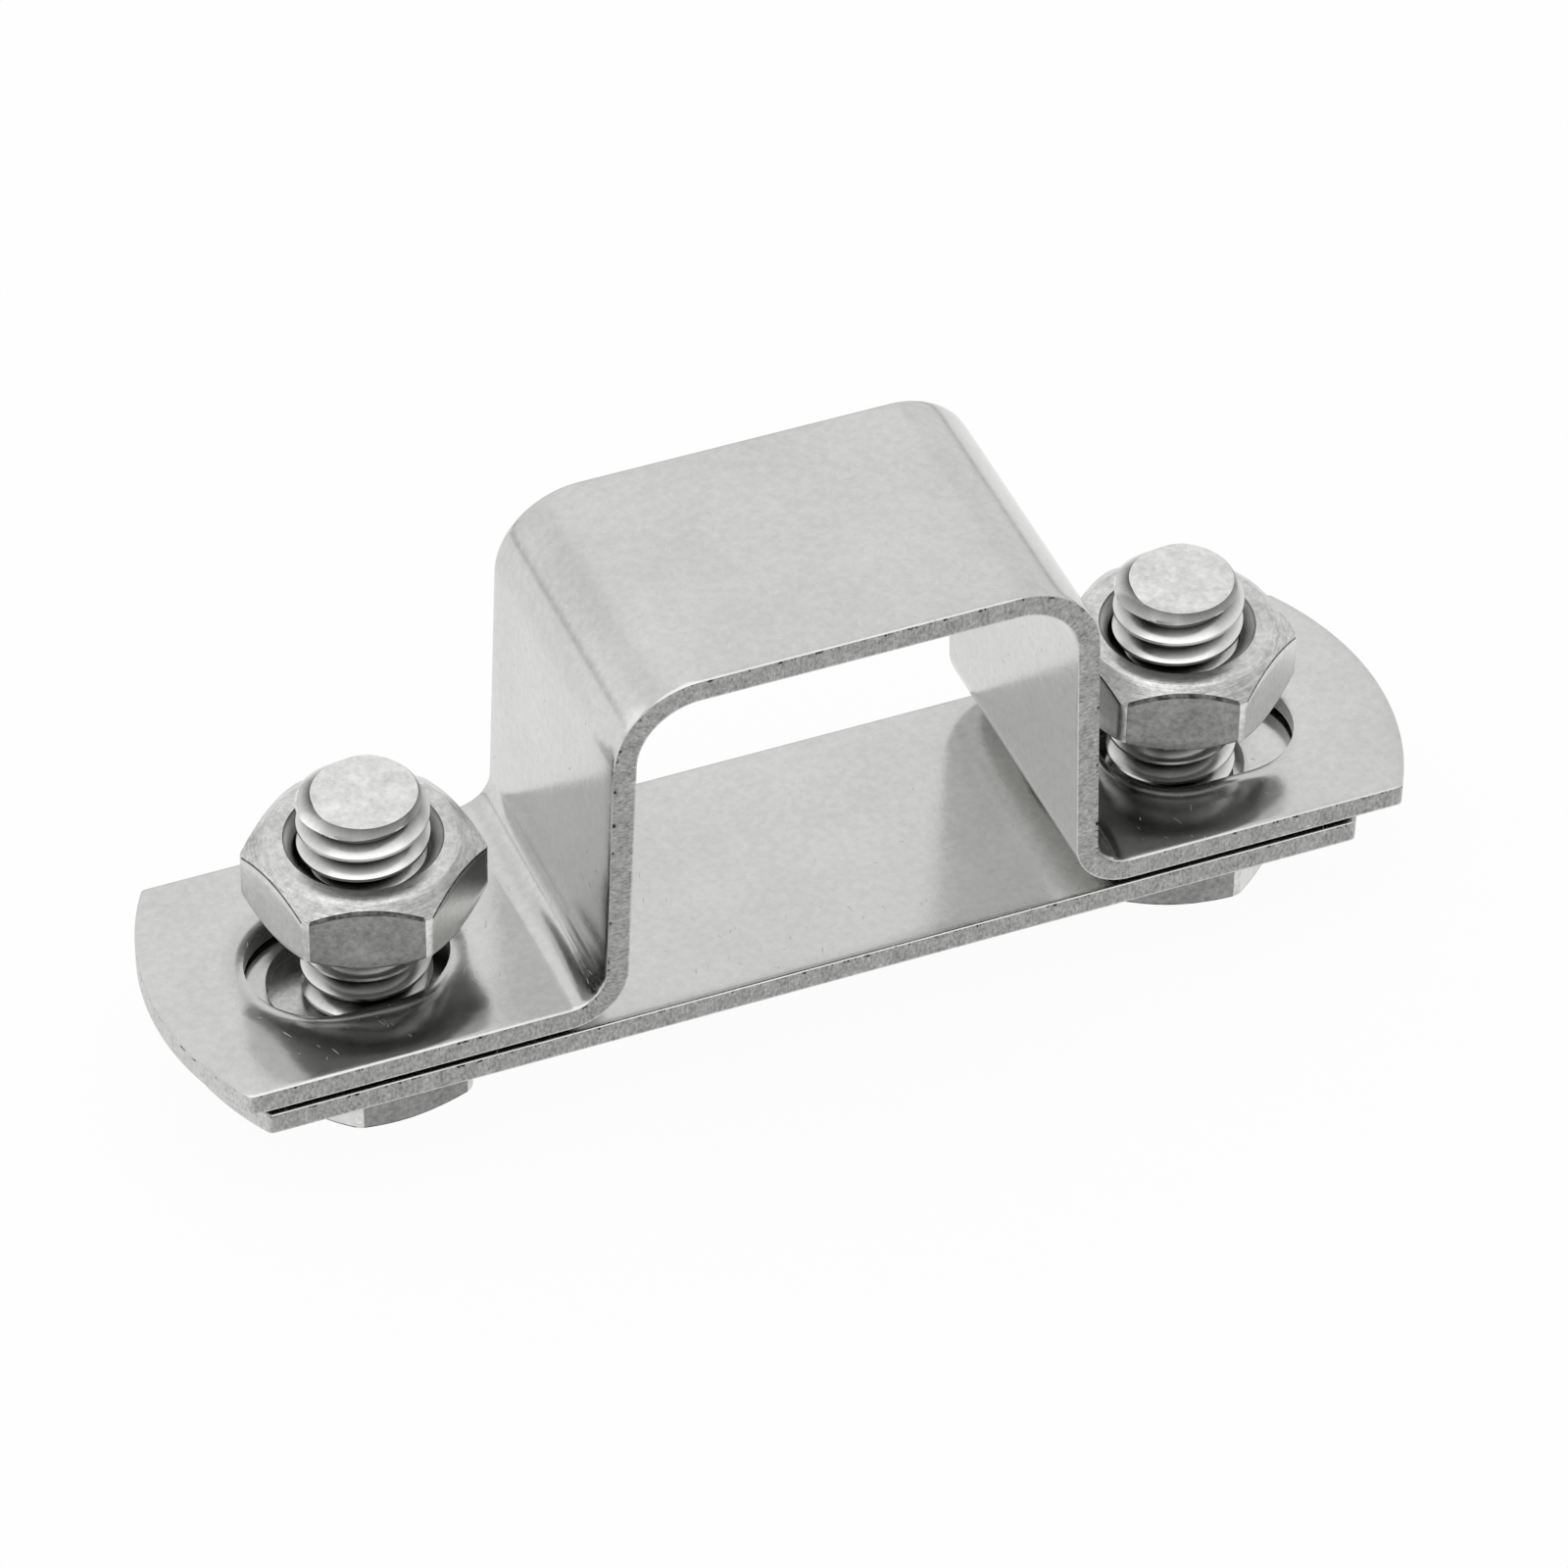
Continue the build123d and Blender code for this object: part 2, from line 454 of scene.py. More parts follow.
class HatSheet(FlatSheet):
    """The strap's blank, bent into a hat. Developed length runs from the middle of the hat's top."""

    def __init__(self, low_z, length, slot_spacing, height):
        super().__init__(0.0, low_z, length, slot_spacing)
        self.inner_h = height - sheet_t
        turn = math.pi / 2 - wall_flare
        top_x = hat_inner_w / 2
        foot_x = top_x + self.inner_h * math.tan(wall_flare)
        foot_r = foot_bend_r + sheet_t
        wall_l = self.inner_h / math.cos(wall_flare)
        top_cut = top_bend_r * math.tan(turn / 2)
        foot_cut = foot_r * math.tan(turn / 2)
        self.turn = turn
        self.foot_r = foot_r
        self.top_end = top_x - top_cut
        self.top_arc_end = self.top_end + top_bend_r * turn
        self.wall_end = self.top_arc_end + wall_l - top_cut - foot_cut
        self.foot_end = self.wall_end + foot_r * turn
        self.foot_x = foot_x + foot_cut
        self.grow = self.foot_end - self.foot_x
        self.bends = [(self.top_end, self.top_arc_end), (self.wall_end, self.foot_end)]

    def plan(self, s):
        side = math.copysign(1, s)
        return hat_shift + side * (abs(s) - self.grow)

    def develop(self, x):
        from_hat = x - hat_shift
        return from_hat + math.copysign(self.grow, from_hat)

    def place(self, s, y, n):
        side = math.copysign(1, s)
        run = abs(s)
        if run <= self.top_end:
            x, z = run, self.inner_h + n
        elif run <= self.top_arc_end:
            angle = (run - self.top_end) / top_bend_r
            reach = top_bend_r + n
            x = self.top_end + reach * math.sin(angle)
            z = self.inner_h - top_bend_r + reach * math.cos(angle)
        elif run <= self.wall_end:
            down = run - self.top_arc_end
            reach = top_bend_r + n
            x = self.top_end + reach * math.sin(self.turn) + down * math.cos(self.turn)
            z = self.inner_h - top_bend_r + reach * math.cos(self.turn) - down * math.sin(self.turn)
        elif run <= self.foot_end:
            angle = self.turn - (run - self.wall_end) / self.foot_r
            reach = self.foot_r - n
            x = self.foot_x - reach * math.sin(angle)
            z = self.foot_r - reach * math.cos(angle)
        else:
            x, z = self.foot_x + run - self.foot_end, n
        return Vector((hat_shift + side * x, y, self.low_z + z))


def nearest_slot(sheet, s, y):
    """How far a point lies outside the edge of the nearer slot."""
    past = min(max(abs(sheet.plan(s) - slot_x) - (slot_l - slot_w) / 2, 0.0) for slot_x in sheet.slots)
    return math.hypot(past, y) - slot_w / 2


def strip_corner(rounding):
    """Centre of a corner's rounding, from the centre of the end's arc: along the strip and across it."""
    across = plate_w / 2 - rounding
    return math.sqrt((end_r - rounding) ** 2 - across**2), across


def rim_distance(sheet, s, y):
    """How far a point lies inside the blank's outline."""
    past_centre = abs(sheet.plan(s)) - (sheet.half_l - end_r)
    along, across = strip_corner(corner_r)
    past_x, past_y = past_centre - along, abs(y) - across
    if past_x > 0 and past_y * along > past_x * across:
        return corner_r - math.hypot(past_x, past_y)
    end = end_r - math.hypot(max(past_centre, 0.0), y)
    return min(plate_w / 2 - abs(y), end)


def slot_loop(sheet, slot_x, out, steps=28):
    """Points round a slot, at a distance outside its edge."""
    half = (slot_l - slot_w) / 2
    reach = slot_w / 2 + out
    loop = []
    for side in (1, -1):
        for k in range(steps + 1):
            angle = math.pi / 2 - math.pi * k / steps
            x = slot_x + side * (half + reach * math.cos(angle))
            loop.append((sheet.develop(x), side * reach * math.sin(angle)))
    return loop


def rim_loop(sheet, inset, columns, steps=36, corner_steps=4):
    """Points round the outline, at a distance inside it, with the side columns given."""
    y_side = plate_w / 2 - inset
    reach = end_r - inset
    centre = sheet.half_l - end_r
    along, across = strip_corner(max(corner_r, inset))
    spread = math.atan2(across, along)
    corner = []
    if inset < corner_r:
        rounded = corner_r - inset
        for k in range(corner_steps):
            angle = math.pi / 2 - (math.pi / 2 - spread) * k / corner_steps
            corner.append((along + rounded * math.cos(angle), across + rounded * math.sin(angle)))
    sweep = [spread - 2 * spread * k / steps for k in range(steps + 1)]
    arc = [(reach * math.cos(angle), reach * math.sin(angle)) for angle in sweep]
    end = corner + arc + [(x, -y) for x, y in reversed(corner)]
    right, left = [[(sheet.develop(side * (centre + x)), side * y) for x, y in end] for side in (1, -1)]
    inner = [s for s in columns if left[0][0] + inset < s < right[0][0] - inset]
    upper = [(s, y_side) for s in inner]
    lower = [(s, -y_side) for s in reversed(inner)]
    return upper + right + lower + left


def spaced(low, high, step):
    """Evenly spaced values from low to high, both included."""
    count = max(1, math.ceil((high - low) / step))
    return [low + (high - low) * k / count for k in range(count + 1)]


def sheet_columns(sheet):
    """Developed lengths of the grid's columns, closer together in the bends."""
    end = sheet.develop(sheet.half_l)
    marks = [0.0]
    for low, high in sheet.bends:
        marks += spaced(marks[-1], low, column_step)[1:]
        marks += spaced(low, high, bend_column_step)[1:]
    marks += spaced(marks[-1], end, column_step)[1:]
    low_end = -sheet.develop(-sheet.half_l)
    low_marks = [s for s in marks if s < low_end]
    return [-s for s in reversed(low_marks[1:])] + marks


def blank_grid(sheet):
    """Points of the flat blank in developed length and Y, and the triangles between them."""
    columns = sheet_columns(sheet)
    rows = spaced(-plate_w / 2, plate_w / 2, row_step)[1:-1]
    points = []
    edges = []
    for inset in rim_insets:
        loop = rim_loop(sheet, inset, columns)
        if inset == 0.0:
            edges += loop_edges(len(points), len(loop))
        points += loop
    for slot_x in sheet.slots:
        for out in slot_outs:
            loop = slot_loop(sheet, slot_x, out)
            if out == 0.0:
                edges += loop_edges(len(points), len(loop))
            points += loop
    clear_slot = slot_outs[-1] + slot_clearance
    clear_rim = rim_insets[-1] + rim_clearance
    for s in columns:
        for y in rows:
            if nearest_slot(sheet, s, y) >= clear_slot and rim_distance(sheet, s, y) > clear_rim:
                points.append((s, y))
    flat = [Vector(p) for p in points]
    verts, _, faces, _, _, _ = delaunay_2d_cdt(flat, edges, [], 0, blank_slack)
    return verts, faces


def loop_edges(start, count):
    """Edges of a closed loop of consecutive points."""
    return [(start + k, start + (k + 1) % count) for k in range(count)]


def roll_drop(sheet, s, y):
    """How far the upper skin sinks by the edges that the press rolled over."""
    near_slot = max(nearest_slot(sheet, s, y), 0.0)
    near_rim = max(rim_distance(sheet, s, y), 0.0)
    slot_part = max(0.0, 1 - near_slot / slot_roll_reach)
    rim_part = max(0.0, 1 - near_rim / edge_roll_reach)
    dish_part = max(0.0, 1 - near_rim / edge_dish_reach)
    rim_drop = edge_roll_depth * rim_part**edge_roll_power + edge_dish_depth * dish_part**edge_dish_power
    return slot_roll_depth * slot_part**slot_roll_power + rim_drop


def in_blank(sheet, s, y):
    """Whether a point of the developed plan is on metal."""
    return rim_distance(sheet, s, y) > 0 and nearest_slot(sheet, s, y) > 0


def sheet_piece(name, sheet, face_material, edge_material):
    """Closed mesh of a sheet: upper skin, underside and the cut walls between them."""
    verts, faces = blank_grid(sheet)
    tris = []
    for face in faces:
        s = sum(verts[i][0] for i in face) / len(face)
        y = sum(verts[i][1] for i in face) / len(face)
        if in_blank(sheet, s, y):
            tris.append(face)
    used = sorted({i for face in tris for i in face})
    order = {old: new for new, old in enumerate(used)}
    count = len(used)
    flat_uv = [tuple(verts[i]) for i in used]
    coords = [sheet.place(*verts[i], sheet_t - roll_drop(sheet, *verts[i])) for i in used]
    coords += [sheet.place(*verts[i], 0.0) for i in used]
    polygons = []
    materials = []
    uvs = []
    for a, b, c in tris:
        a, b, c = order[a], order[b], order[c]
        polygons.append((a, b, c))
        uvs.append([flat_uv[a], flat_uv[b], flat_uv[c]])
        polygons.append((c + count, b + count, a + count))
        uvs.append([flat_uv[c], flat_uv[b], flat_uv[a]])
        materials += [0, 0]
    row_of = {}

    def wall_point(old, row):
        """Index of a point on the cut wall under an upper vertex, row 0 being the skin itself."""
        if row == 0:
            return order[old]
        if row == cut_wall_rows:
            return order[old] + count
        if (old, row) not in row_of:
            s, y = verts[old]
            high = sheet_t - roll_drop(sheet, s, y)
            row_of[(old, row)] = len(coords)
            coords.append(sheet.place(s, y, high * (1 - row / cut_wall_rows)))
        return row_of[(old, row)]

    travelled = 0.0
    for a, b in boundary_edges(tris):
        here = travelled
        travelled += (verts[b] - verts[a]).length
        for row in range(cut_wall_rows):
            high = sheet_t * (1 - row / cut_wall_rows)
            low = sheet_t * (1 - (row + 1) / cut_wall_rows)
            upper = (wall_point(b, row), wall_point(a, row))
            polygons.append(upper + (wall_point(a, row + 1), wall_point(b, row + 1)))
            uvs.append([(travelled, high), (here, high), (here, low), (travelled, low)])
            materials.append(1)
    metals = [face_material, edge_material]
    return finished_mesh(name, coords, polygons, metals, materials, uvs, sharp_angle=40)


def boundary_edges(tris):
    """Edges that only one triangle has, in its own direction, chained loop after loop."""
    seen = set()
    for tri in tris:
        for k in range(3):
            seen.add((tri[k], tri[(k + 1) % 3]))
    follows = {a: b for a, b in seen if (b, a) not in seen}
    chained = []
    while follows:
        start = next(iter(follows))
        here = start
        while here in follows:
            after = follows.pop(here)
            chained.append((here, after))
            here = after
    return chained


def finished_mesh(name, coords, polygons, materials, indices, uvs, sharp_angle):
    """Mesh object at the origin with its materials, UV map and sharp edges set."""
    mesh = bpy.data.meshes.new(name)
    mesh.from_pydata([tuple(c) for c in coords], [], polygons)
    for material in materials:
        mesh.materials.append(material)
    mesh.polygons.foreach_set("material_index", indices)
    if uvs:
        layer = mesh.uv_layers.new(name="UVMap")
        flat = [value for corners in uvs for corner in corners for value in corner]
        layer.data.foreach_set("uv", flat)
    mesh.shade_smooth()
    mesh.set_sharp_from_angle(angle=math.radians(sharp_angle))
    mesh.validate()
    mesh.update()
    piece = bpy.data.objects.new(name, mesh)
    bpy.context.scene.collection.objects.link(piece)
    return piece


# Hexagons: nuts and bolt heads are turned about their axis with a radius that follows the flats


def from_corner(angle, across_flats):
    """Angle to the nearest corner, radius of its rounding's centre, and how far that lies aside."""
    off_corner = abs((angle + math.pi / 6) % (math.pi / 3) - math.pi / 6)
    centre = (across_flats / 2 - hex_corner_r) / math.cos(math.pi / 6)
    return off_corner, centre, centre * math.sin(off_corner)


def hex_radius(angle, across_flats):
    """Radius of a hexagon with rounded corners at an angle from one of its corners."""
    off_corner, centre, aside = from_corner(angle, across_flats)
    flat = across_flats / 2 / math.cos(math.pi / 6 - off_corner)
    if aside >= hex_corner_r / 2:
        return flat
    rounded = centre * math.cos(off_corner) + math.sqrt(hex_corner_r**2 - aside**2)
    return min(flat, rounded)


def hex_piece(name, x, turn, sections, materials):
    """Closed mesh whose section at each angle comes from sections(angle), as (radius, z, material) rows.

    A section begins and ends on the axis, or else its last point is joined to its first.
    """
    coords = []
    polygons = []
    indices = []
    rings = []
    on_axis = {}
    for k in range(hex_steps):
        turned = 2 * math.pi * k / hex_steps + turn
        ring = []
        for row, (radius, z, _) in enumerate(sections(turned - turn)):
            if row not in on_axis:
                coords.append((x + radius * math.cos(turned), radius * math.sin(turned), z))
                if radius == 0:
                    on_axis[row] = len(coords) - 1
            ring.append(on_axis.get(row, len(coords) - 1))
        rings.append(ring)
    rows = len(rings[0]) - 1 if on_axis else len(rings[0])
    for k in range(hex_steps):
        here, after = rings[k], rings[(k + 1) % hex_steps]
        between = sections(2 * math.pi * (k + 0.5) / hex_steps)
        for row in range(rows):
            up = (row + 1) % len(here)
            polygons.append(tuple(dict.fromkeys((here[row], after[row], after[up], here[up]))))
            indices.append(between[row][2])
    return finished_mesh(name, coords, polygons, materials, indices, None, sharp_angle=22)


def on_corner(angle, across_flats):
    """Whether an angle from one of the corners falls on a rounded corner."""
    return from_corner(angle, across_flats)[2] < hex_corner_r * worn_corner_share


def hex_sides(outer, low, high, angle, across_flats):
    """Rows up a flat between its two worn edges, or up a rounded corner. The flats' worn edges carry dark
    lines of painted shade, and one flat is coloured darker all over as painted shade, as is the cut above
    it.
    """
    if on_corner(angle, across_flats):
        flat, line, above = WORN, WORN, TURNED
    elif int(angle // (math.pi / 3)) % 6 != shaded_flat_index:
        flat, line, above = PALE, SHADE_LINE, TURNED
    else:
        # The darker flat, painted shade, with painted shade lines on its edges and on the cut above it
        flat, line, above = SHADED, SHADE_LINE, SHADE_LINE
    rows = [(outer - worn_cut, low, line)]
    step = (high - low - 2 * worn_edge) / side_rows
    rows += [(outer, low + worn_edge + step * k, flat) for k in range(side_rows)]
    return rows + [(outer, high - worn_edge, line), (outer - worn_cut, high, above)]


def nut_sections(low_z, high_z):
    """Function that gives a nut's section at an angle, from the bore's foot round to its mouth.

    The bore itself lies a hidden lip behind the thread's own piece.
    """
    sink = nut_sink_r - crest_r - nut_play
    hidden_r = crest_r + nut_play + hidden_lip
    flat_r = nut_af / 2 - nut_face_inset
    face_r = (nut_sink_r + flat_r) / 2
    slope = math.tan(nut_face_angle)

    def sections(angle):
        outer = hex_radius(angle, nut_af)
        ring = [flat_r + (outer - flat_r) * share for share in nut_cut_shares] + [outer - nut_cut_line]
        drops = [0.0, (ring[1] - flat_r) * slope / 2] + [(r - flat_r) * slope for r in ring[2:]]
        face = [(nut_sink_r, 0.0), (face_r, 0.0)] + list(zip(ring, drops))
        # The nut's underside takes the darker flat colour, painted shade under the nut.
        lower = [(hidden_r, low_z + sink, TURNED)] + [(r, low_z + drop, SHADED) for r, drop in face]
        upper = [(r, high_z - drop, TURNED) for r, drop in reversed(face)]
        upper.append((hidden_r, high_z - sink, TURNED))
        side_drop = (outer - worn_cut - flat_r) * slope
        return lower + hex_sides(outer, low_z + side_drop, high_z - side_drop, angle, nut_af) + upper

    return sections


def head_sections(low_z, high_z):
    """Function that gives a bolt head's section at an angle, from its foot to the shank."""
    flat_r = head_af / 2 - head_face_inset
    rim_z = high_z - washer_face_h
    slope = math.tan(head_face_angle)

    upper = [(washer_face_r, rim_z, TURNED), (washer_face_r, high_z, TURNED), (0.0, high_z, TURNED)]

    def sections(angle):
        outer = hex_radius(angle, head_af)
        ring = [flat_r + (outer - flat_r) * share for share in head_cut_shares]
        lower = [(flat_r * share, low_z, TURNED) for share in head_face_shares]
        lower += [(r, low_z + (r - flat_r) * slope, TURNED) for r in ring]
        side_low = low_z + (outer - worn_cut - flat_r) * slope
        return lower + hex_sides(outer, side_low, rim_z, angle, head_af) + upper

    return sections


# Threads, wound by a geometry node tree


def thread_tree(name, inside):
    """Geometry tree that winds a helical thread wall about Z, inside a bore or outside a shank.

    The shank's first and last rows of points are drawn in to its axis and shut its ends.
    """
    tree = bpy.data.node_groups.new(name, "GeometryNodeTree")
    sizes = ("Crest Radius", "Root Radius", "Pitch", "Bottom", "Top", "End Radius", "Axis X", "Phase")
    kinds = dict.fromkeys(sizes, "NodeSocketFloat")
    kinds |= dict.fromkeys(("Columns", "Rows per Pitch", "Pitches"), "NodeSocketInt")
    kinds |= dict.fromkeys(("Material", "End Material"), "NodeSocketMaterial")
    for label, kind in kinds.items():
        tree.interface.new_socket(label, in_out="INPUT", socket_type=kind)
    tree.interface.new_socket("Geometry", in_out="OUTPUT", socket_type="NodeSocketGeometry")
    given = tree.nodes.new("NodeGroupInput").outputs
    end = tree.nodes.new("NodeGroupOutput")

    def calc(operation, first, second=0.0):
        """One Math node of this tree."""
        return maths(tree, operation, first, second)

    def position():
        """X, Y and Z of the points as they are where the result is used."""
        where = tree.nodes.new("GeometryNodeInputPosition").outputs[0]
        return add(tree, "ShaderNodeSeparateXYZ", Vector=where).outputs

    # A flat grid, whose X becomes the turn about the axis and Y the climb in pitches
    rows = calc("MULTIPLY", given["Rows per Pitch"], given["Pitches"])
    counts = {"Vertices_X": calc("ADD", given["Columns"], 1.0), "Vertices_Y": calc("ADD", rows, 1.0)}
    grid = add(tree, "GeometryNodeMeshGrid", Size_X=1.0, Size_Y=1.0, **counts)
    place = position()
    turn = calc("ADD", place["X"], 0.5)
    climb = calc("MULTIPLY", calc("ADD", place["Y"], 0.5), given["Pitches"])
    rise = calc("SUBTRACT", calc("ADD", climb, turn), thread_lead_in)
    raw_z = calc("ADD", calc("MULTIPLY", rise, given["Pitch"]), given["Bottom"])
    z = calc("MINIMUM", calc("MAXIMUM", raw_z, given["Bottom"]), given["Top"])

    # Radius from the thread's phase, cut back or opened out by a cone at the ends
    lead = calc("SUBTRACT", calc("DIVIDE", calc("SUBTRACT", z, given["Phase"]), given["Pitch"]), turn)
    wave = calc("MULTIPLY", calc("ABSOLUTE", calc("SUBTRACT", calc("FRACT", lead), 0.5)), 2.0)
    flank = add(tree, "ShaderNodeMapRange", Value=wave, From_Min=flank_foot, From_Max=flank_top)
    depth = calc("SUBTRACT", given["Crest Radius"], given["Root Radius"])
    ridge = calc("ADD", calc("MULTIPLY", flank.outputs[0], depth), given["Root Radius"])
    from_top = calc("SUBTRACT", given["Top"], z)
    if inside:
        from_end = calc("MINIMUM", from_top, calc("SUBTRACT", z, given["Bottom"]))
        radius = calc("MAXIMUM", ridge, calc("SUBTRACT", given["End Radius"], from_end))
    else:
        past_first = calc("GREATER_THAN", climb, row_slack)
        before_last = calc("LESS_THAN", climb, calc("SUBTRACT", given["Pitches"], row_slack))
        outer = calc("MINIMUM", ridge, calc("ADD", given["End Radius"], from_top))
        radius = calc("MULTIPLY", outer, calc("MULTIPLY", past_first, before_last))
    angle = calc("MULTIPLY", turn, 2 * math.pi)
    x = calc("ADD", calc("MULTIPLY", radius, calc("COSINE", angle)), given["Axis X"])
    y = calc("MULTIPLY", radius, calc("SINE", angle))
    spot = add(tree, "ShaderNodeCombineXYZ", X=x, Y=y, Z=z).outputs[0]
    shape = add(tree, "GeometryNodeSetPosition", Geometry=grid.outputs["Mesh"], Position=spot).outputs[0]
    if inside:
        shape = add(tree, "GeometryNodeFlipFaces", Mesh=shape).outputs[0]
    merged = add(tree, "GeometryNodeMergeByDistance", Geometry=shape, Distance=weld).outputs[0]
    smooth = add(tree, "GeometryNodeSetShadeSmooth", Geometry=merged).outputs[0]
    real = add(tree, "GeometryNodeRealizeInstances", Geometry=smooth).outputs[0]
    painted = add(tree, "GeometryNodeSetMaterial", Geometry=real, Material=given["Material"]).outputs[0]
    on_top = calc("GREATER_THAN", position()["Z"], calc("SUBTRACT", given["Top"], 10 * weld))
    ends = {"Selection": on_top, "Material": given["End Material"]}
    capped = add(tree, "GeometryNodeSetMaterial", Geometry=painted, **ends).outputs[0]
    tree.links.new(capped, end.inputs[0])
    return tree


def pitches_over(length):
    """Pitches to wind for a thread of some length, with its lead-in and lead-out."""
    return math.ceil(length / thread_pitch) + thread_lead_in + thread_lead_out


def grown(name, tree, values, sharp_angle):
    """Runs a geometry tree with named inputs and keeps its mesh as a plain object."""
    host = bpy.data.objects.new(name + "_host", bpy.data.meshes.new(name + "_host"))
    bpy.context.scene.collection.objects.link(host)
    modifier = host.modifiers.new("grow", "NODES")
    modifier.node_group = tree
    sockets = {item.name: item.identifier for item in tree.interface.items_tree if item.in_out == "INPUT"}
    for label, value in values.items():
        modifier[sockets[label]] = value
    evaluated = host.evaluated_get(bpy.context.evaluated_depsgraph_get())
    mesh = bpy.data.meshes.new_from_object(evaluated)
    bpy.data.objects.remove(host)
    mesh.name = name
    mesh.set_sharp_from_angle(angle=math.radians(sharp_angle))
    piece = bpy.data.objects.new(name, mesh)
    bpy.context.scene.collection.objects.link(piece)
    return piece


sheet_metal = sheet_steel()
cut_metal = sheared_steel()
# The darker flat colour is painted shade, on one flat of each hexagon and under each nut
shaded_flat_metal = flat_steel("shaded_flat_steel", dark=0.16, light=0.35, roughness=0.36)
pale_metal = flat_steel("pale_flat_steel", dark=0.58, light=0.78, roughness=0.28)
worn_metal = worn_steel()
# The flats' dark edge lines are painted shade.
shade_line_metal = edge_shade_steel()
end_metal = end_steel()

# Plates
strap_l = strap_high.x - strap_low.x
strap_h = strap_high.z - strap_low.z
strap_sheet = HatSheet(strap_low.z, strap_l, strap_slot_spacing, strap_h)
strap = sheet_piece("strap_sheet", strap_sheet, sheet_metal, cut_metal)
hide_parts("strap")
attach(strap, "clamp")

base_middle = (base_low.x + base_high.x) / 2
base_sheet = FlatSheet(base_middle, base_low.z, base_high.x - base_low.x, base_slot_spacing)
base = sheet_piece("base_sheet", base_sheet, sheet_metal, cut_metal)
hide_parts("base_plate")
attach(base, "clamp")

# Bolts and nuts
outer_tree = thread_tree("shank_thread", inside=False)
inner_tree = thread_tree("bore_thread", inside=True)
for side, head_turn, nut_turn in (
    ("left", left_head_turn, left_nut_turn),
    ("right", right_head_turn, right_nut_turn),
):
    bolt_node = side + "_bolt"
    nut_node = side + "_nut"
    x = axis_x(bolt_node)
    bolt_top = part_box(bolt_node)[1].z
    nut_low, nut_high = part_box(nut_node)
    turned_metal = turned_steel(side + "_turned_steel", x)
    thread_metal = thread_steel(side + "_thread_steel", x)
    bore_metal = bore_steel(side + "_bore_steel", x)
    hex_metals = [turned_metal, shaded_flat_metal, worn_metal, shade_line_metal, pale_metal]

    head = hex_piece(bolt_node + "_head", x, head_turn, head_sections(0.0, head_h), hex_metals)
    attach(head, bolt_node)

    thread_sizes = {
        "Crest Radius": crest_r,
        "Root Radius": root_r,
        "Pitch": thread_pitch,
        "Bottom": head_h,
        "Top": bolt_top,
        "End Radius": bolt_tip_r,
        "Axis X": x,
        "Phase": head_h,
        "Columns": thread_columns,
        "Rows per Pitch": thread_rows,
        "Pitches": pitches_over(bolt_top - head_h),
        "Material": thread_metal,
        "End Material": end_metal,
    }
    shank = grown(bolt_node + "_thread", outer_tree, thread_sizes, sharp_angle=30)
    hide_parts(bolt_node)
    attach(shank, bolt_node)

    sections = nut_sections(nut_low.z, nut_high.z)
    nut = hex_piece(nut_node + "_body", x, nut_turn, sections, hex_metals)
    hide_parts(nut_node)
    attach(nut, nut_node)

    bore_sizes = thread_sizes | {
        "Crest Radius": crest_r + nut_play,
        "Root Radius": root_r + nut_play,
        "Bottom": nut_low.z,
        "Top": nut_high.z,
        "End Radius": nut_sink_r,
        "Pitches": pitches_over(nut_high.z - nut_low.z),
        "Material": bore_metal,
        "End Material": bore_metal,
    }
    bore = grown(nut_node + "_thread", inner_tree, bore_sizes, sharp_angle=50)
    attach(bore, nut_node)

bpy.context.scene.view_settings.view_transform = "Standard"

# Camera at the photograph's angle
photo_width = 1600
focal_px = 8816
camera_turn = math.radians(-22.93)
camera_rise = math.radians(41.66)
camera_roll = math.radians(0.886)
camera_away = 521.8 * MM
camera_target = Vector((0.405 * MM, 0.0, base_high.z + 6.07 * MM))
back = Vector(
    (
        math.sin(camera_turn) * math.cos(camera_rise),
        -math.cos(camera_turn) * math.cos(camera_rise),
        math.sin(camera_rise),
    )
)
camera = bpy.data.objects.new("camera", bpy.data.cameras.new("camera"))
camera.data.sensor_width = 36.0
camera.data.lens = focal_px / photo_width * camera.data.sensor_width
camera.data.clip_start = 0.01
camera.data.clip_end = 10.0
camera.location = camera_target + back * camera_away
camera.rotation_mode = "QUATERNION"
camera.rotation_quaternion = (-back).to_track_quat("-Z", "Y") @ Euler((0, 0, camera_roll)).to_quaternion()
bpy.context.scene.collection.objects.link(camera)
bpy.context.scene.camera = camera

# Floor and world: white to the camera and in the metal, with the object's own faint shadow
floor_half = 3.0
floor_white = 0.95
room_lean = (0.04, 0.75, 0.66)
room_stops = ((0.48, 0.5), (0.74, 0.92), (0.955, 0.88), (0.985, 0.98))
floor_mesh = bpy.data.meshes.new("floor")
corners = [(x * floor_half, y * floor_half, 0) for x, y in ((-1, -1), (1, -1), (1, 1), (-1, 1))]
floor_mesh.from_pydata(corners, [], [(0, 1, 2, 3)])
floor = bpy.data.objects.new("floor", floor_mesh)
bpy.context.scene.collection.objects.link(floor)
floor_paint = bpy.data.materials.new("floor_paint")
floor_paint.use_nodes = True
floor_tree = floor_paint.node_tree
floor_tree.nodes.clear()
path = floor_tree.nodes.new("ShaderNodeLightPath").outputs
seen = maths(floor_tree, "ADD", path["Is Camera Ray"], path["Is Glossy Ray"])
seen = maths(floor_tree, "ADD", seen, path["Is Transmission Ray"], clamp=True)
white_share = maths(floor_tree, "MULTIPLY", seen, floor_white)
matt = add(floor_tree, "ShaderNodeBsdfDiffuse", Color=(0.9, 0.9, 0.9, 1))
glow = add(floor_tree, "ShaderNodeEmission", Color=(1, 1, 1, 1), Strength=1.0)
floor_mix = add(floor_tree, "ShaderNodeMixShader", i0=white_share, i1=matt.outputs[0], i2=glow.outputs[0])
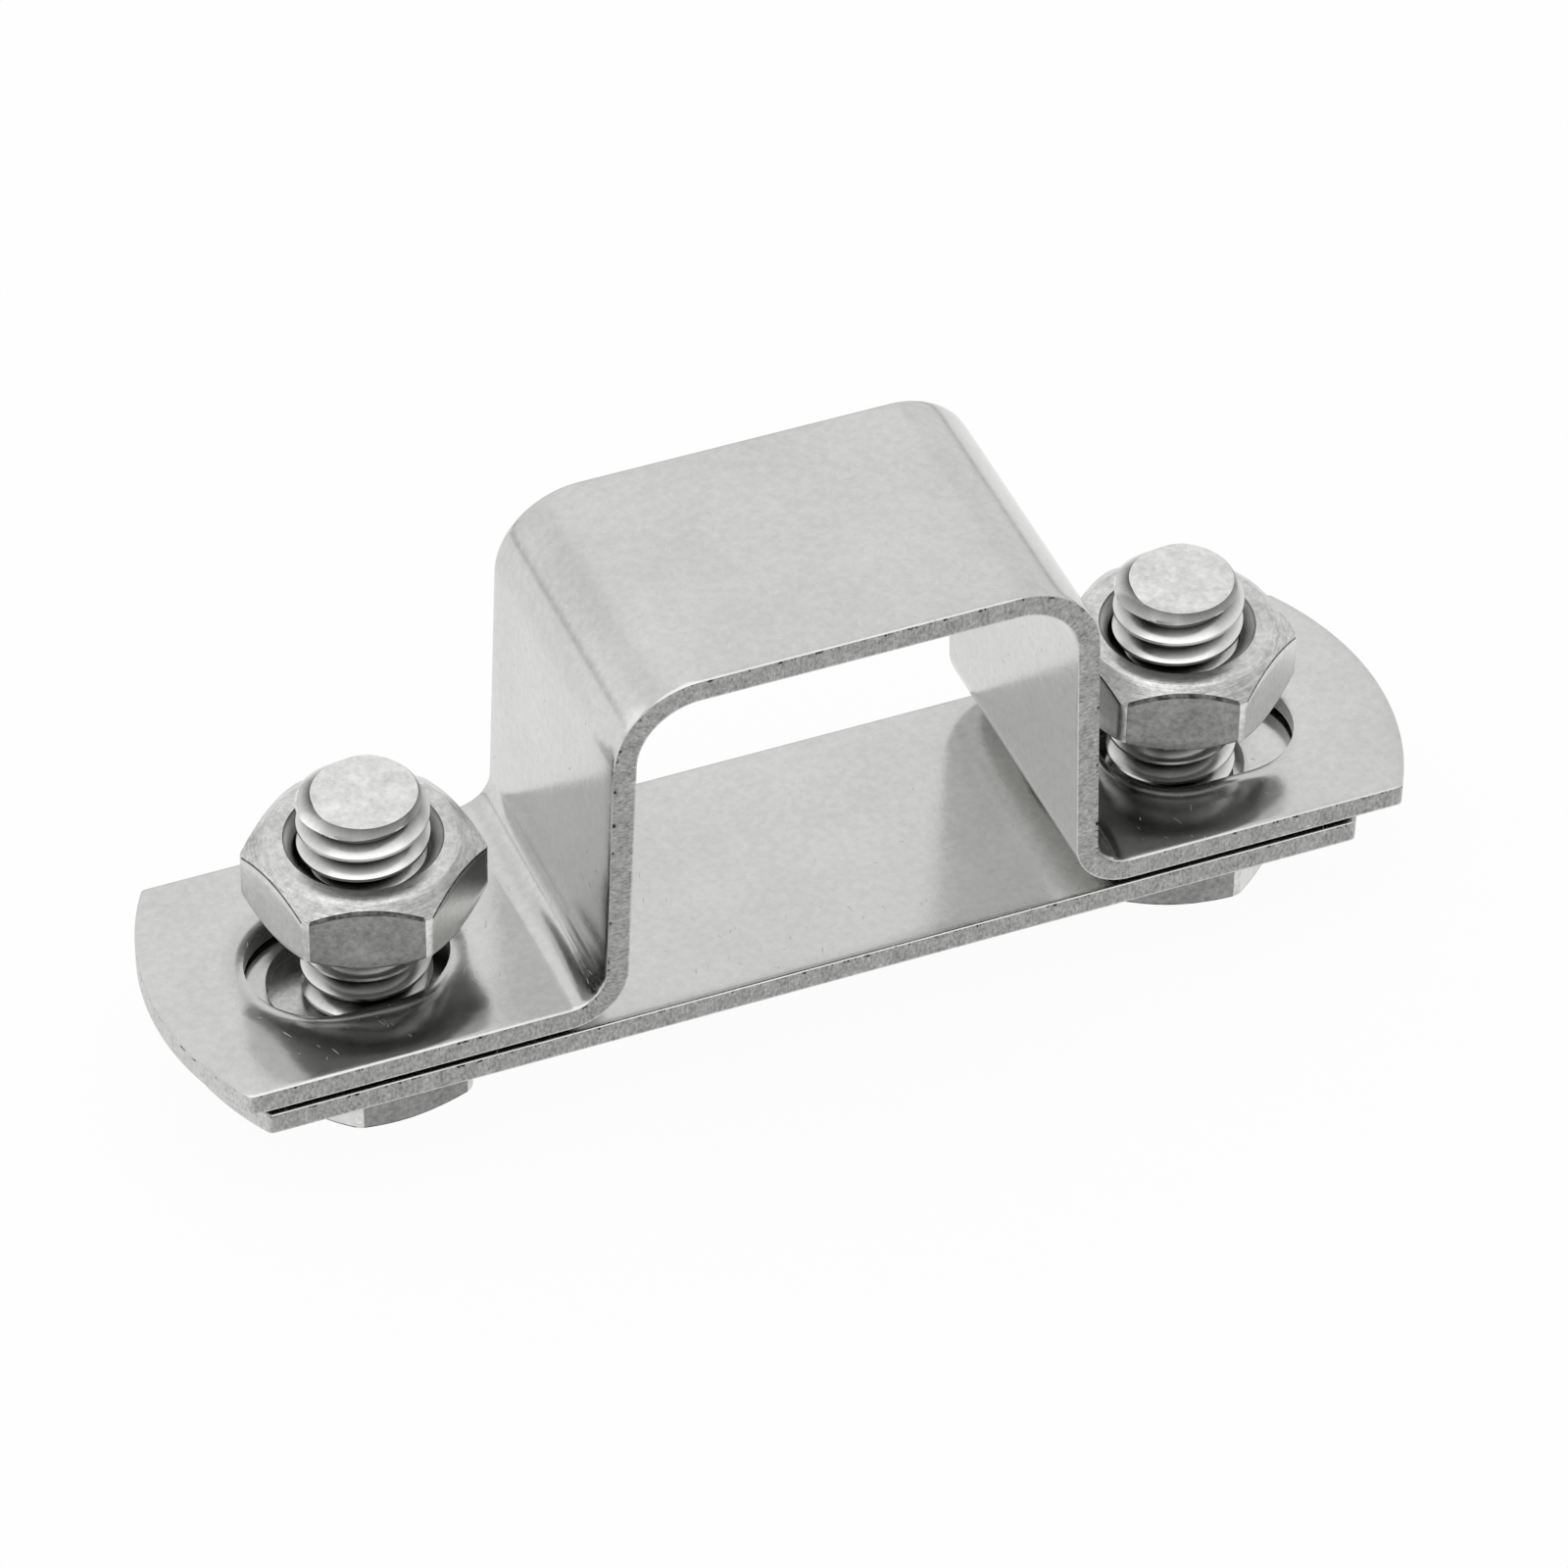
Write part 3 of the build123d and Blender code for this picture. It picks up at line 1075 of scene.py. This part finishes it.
floor_out = floor_tree.nodes.new("ShaderNodeOutputMaterial")
floor_tree.links.new(floor_mix.outputs[0], floor_out.inputs["Surface"])
floor_mesh.materials.append(floor_paint)

world = bpy.data.worlds.new("studio")
bpy.context.scene.world = world
world.use_nodes = True
sky = world.node_tree
sky.nodes.clear()
aim = add(sky, "ShaderNodeTexCoord").outputs["Generated"]
lean = add(sky, "ShaderNodeVectorMath", {"operation": "DOT_PRODUCT"}, i0=aim, i1=room_lean)
room = add(sky, "ShaderNodeValToRGB", Fac=maths(sky, "MULTIPLY_ADD", lean.outputs["Value"], 0.5, 0.5))
stops = room.color_ramp.elements
stops[0].position = room_stops[0][0]
stops[1].position = room_stops[-1][0]
for place, _ in room_stops[1:-1]:
    stops.new(place)
for stop, (_, level) in zip(stops, room_stops):
    stop.color = (level, level, level, 1)
above = add(sky, "ShaderNodeSeparateXYZ", Vector=aim).outputs["Z"]
skirting_range = {"From_Min": 0.02, "From_Max": 0.12, "To_Min": 0.55, "To_Max": 1.0}
skirting = add(sky, "ShaderNodeMapRange", Value=above, **skirting_range)
room_light = add(sky, "ShaderNodeBackground", Color=room.outputs["Color"], Strength=skirting.outputs[0])
sky_out = sky.nodes.new("ShaderNodeOutputWorld")
sky.links.new(room_light.outputs[0], sky_out.inputs["Surface"])


def soft_box(name, place, aim_at, width, height, power):
    """Rectangular lamp that points at a place."""
    lamp = bpy.data.lights.new(name, "AREA")
    lamp.shape = "RECTANGLE"
    lamp.size = width
    lamp.size_y = height
    lamp.energy = power
    holder = bpy.data.objects.new(name, lamp)
    holder.location = place
    holder.rotation_mode = "QUATERNION"
    holder.rotation_quaternion = (Vector(aim_at) - Vector(place)).to_track_quat("-Z", "Y")
    bpy.context.scene.collection.objects.link(holder)


soft_box("top_box", place=(-0.1, -0.05, 0.9), aim_at=(0, 0, 0), width=0.9, height=0.9, power=1.3)
soft_box("left_box", place=(-0.9, 0.3, 0.3), aim_at=(0, 0, 0.02), width=0.9, height=0.6, power=0.6)
